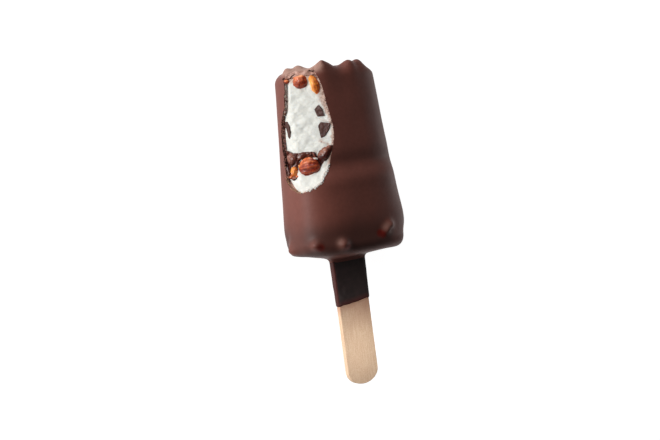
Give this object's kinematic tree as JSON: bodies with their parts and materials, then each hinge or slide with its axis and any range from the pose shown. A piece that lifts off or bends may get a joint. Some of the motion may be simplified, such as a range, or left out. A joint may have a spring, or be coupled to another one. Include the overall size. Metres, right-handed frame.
{
  "type": "ice cream bar",
  "caption": "Chocolate-coated ice cream bar on a flat wooden stick, bitten open down one corner to show white ice cream, nuts and a fudge layer.",
  "frame": {"origin": "middle of the bar's box, on the surface that its back lies on", "axes": "+Y along the bar from the free end of the stick to the top of the body, +X across the bar to its right as seen from the front, +Z out of the front, which is up as the bar lies"},
  "size_m": [0.0534, 0.1358, 0.0346],
  "materials": {
    "chocolate_coating": "satin",
    "ice_cream": "matte",
    "fudge": "gloss",
    "nut_red": "satin",
    "nut_gold": "satin",
    "nut_dark": "gloss",
    "chocolate_chip": "satin",
    "stick_wood": "matte",
    "chocolate_dip": "gloss"
  },
  "bodies": {
    "root": {"coating": "chocolate_coating", "ice_cream_upper": "ice_cream", "ice_cream_lower": "ice_cream", "fudge_layer": "fudge", "nut_top_left": "nut_red", "nut_top_right": "nut_gold", "nut_bit": "nut_red", "nut_middle": "nut_red", "nut_small": "nut_gold", "nut_crumb": "nut_dark", "nut_coated": "nut_dark", "chip_upper": "chocolate_chip", "chip_lower": "chocolate_chip", "chip_left": "chocolate_chip", "stick": "stick_wood", "stick_dip": "chocolate_dip"}
  },
  "joints": []
}
